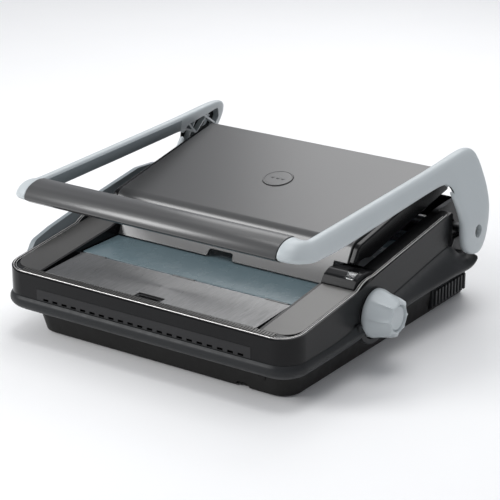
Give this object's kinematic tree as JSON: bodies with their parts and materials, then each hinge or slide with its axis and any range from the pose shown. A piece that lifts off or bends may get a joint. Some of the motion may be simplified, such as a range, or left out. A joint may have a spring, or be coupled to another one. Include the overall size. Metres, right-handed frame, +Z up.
{
  "type": "comb binding machine",
  "caption": "Desktop manual comb binder: wide punch lever, hinged lid over the sheet bay, front comb station under a flap, size dial and chip drawer.",
  "frame": {"origin": "bottom centre of the whole machine's bounding box, on the surface that it stands on", "axes": "+X to the user's right along the punched edge, +Y from the front to the rear, +Z up"},
  "size_m": [0.479, 0.4522, 0.2028],
  "materials": {
    "gloss_black": "gloss moulded ABS",
    "grey_casing": "satin moulded ABS",
    "dark_base": "fine textured ABS",
    "graphite_shell": "metallic graphite, satin",
    "deck_grey": "warm grey satin",
    "silver_edge": "bright edge bead",
    "arm_grey": "light blue-grey satin",
    "brushed_flap": "brushed",
    "tray_teal": "smooth blue-grey",
    "clear_window": "clear lens",
    "steel": "plain machined",
    "screw_steel": "zinc plated",
    "white_nylon": "natural nylon",
    "rubber": "matt"
  },
  "bodies": {
    "chassis": {"base_plate": "dark_base", "base_screws": "screw_steel", "base_tub": "dark_base", "chip_chute": "white_nylon", "comb_bed": "gloss_black", "comb_pins": "steel", "deck_inlay_left": "deck_grey", "deck_inlay_right": "deck_grey", "die_bolts": "screw_steel", "die_plate": "steel", "edge_trim": "silver_edge", "flap_hinge_pin": "steel", "front_plug": "dark_base", "grip_strip": "deck_grey", "knob_bezel": "gloss_black", "knob_bush": "white_nylon", "left_side_cover": "grey_casing", "lid_hinge_brackets": "steel", "lid_hinge_pins": "steel", "mid_casing": "grey_casing", "paper_tray": "tray_teal", "pin_guide_plate": "steel", "pivot_bushes": "white_nylon", "rear_screws": "screw_steel", "rubber_feet": "rubber", "side_frame_left": "steel", "side_frame_right": "steel", "slot_plate": "deck_grey", "throat_spacers": "steel", "tie_rods": "steel", "tray_rails": "white_nylon", "upper_casing": "gloss_black", "window_housing": "gloss_black", "window_lens": "clear_window"},
    "handle": {"arm_left": "arm_grey", "arm_right": "arm_grey", "arm_insert_left": "arm_grey", "arm_insert_right": "arm_grey", "crossbar_upper": "graphite_shell", "crossbar_lower": "graphite_shell", "crossbar_tube": "steel", "drive_shaft": "steel", "shaft_cams": "steel", "pivot_screws": "screw_steel"},
    "punch_head": {"pressure_bar": "steel", "punch_pins": "steel"},
    "comb_opener": {"comb_puller": "steel"},
    "lid": {"lid_panel": "graphite_shell", "lid_badge": "graphite_shell", "lid_trim_left": "gloss_black", "lid_trim_right": "gloss_black"},
    "flap": {"front_flap": "brushed_flap"},
    "latch": {"flap_latch": "gloss_black"},
    "size_knob": {"knob": "arm_grey", "knob_cap": "arm_grey", "knob_shaft": "steel", "size_wheel": "white_nylon"},
    "chip_drawer": {"chip_tray": "dark_base", "chip_tray_grip": "dark_base"},
    "paper_guide": {"edge_guide": "white_nylon"}
  },
  "joints": [
    {"name": "handle_lift", "type": "hinge", "parent": "chassis", "child": "handle", "pos_m": [-0.0085, 0.1726, 0.108], "axis": [-1, 0, 0], "range_deg": [0, 72]},
    {"name": "punch_stroke", "type": "slide", "parent": "chassis", "child": "punch_head", "axis": [0, 0, 1], "range_m": [0, 0.00882]},
    {"name": "comb_pull", "type": "slide", "parent": "chassis", "child": "comb_opener", "axis": [0, -1, 0], "range_m": [0, 0.01]},
    {"name": "lid_open", "type": "hinge", "parent": "chassis", "child": "lid", "pos_m": [-0.0085, 0.1811, 0.151], "axis": [-1, 0, 0], "range_deg": [0, 75]},
    {"name": "flap_open", "type": "hinge", "parent": "chassis", "child": "flap", "pos_m": [-0.0085, -0.1356, 0.0913], "axis": [-1, 0, 0], "range_deg": [0, 105]},
    {"name": "latch_slide", "type": "slide", "parent": "flap", "child": "latch", "axis": [0, 1, 0], "range_m": [0, 0.003], "stiffness_N_per_m": 150, "springref_m": -0.002},
    {"name": "knob_turn", "type": "hinge", "parent": "chassis", "child": "size_knob", "pos_m": [-0.0085, -0.0494, 0.069], "axis": [1, 0, 0], "range_deg": [-150, 150]},
    {"name": "chip_tray_slide", "type": "slide", "parent": "chassis", "child": "chip_drawer", "axis": [1, 0, 0], "range_m": [0, 0.22]},
    {"name": "edge_guide_slide", "type": "slide", "parent": "chassis", "child": "paper_guide", "axis": [1, 0, 0], "range_m": [0, 0.008]}
  ],
  "couplings": [
    {"joint": "punch_stroke", "follows": "handle_lift", "m_per_rad": 0.0070155},
    {"joint": "comb_pull", "follows": "handle_lift", "m_per_rad": 0.007957}
  ]
}
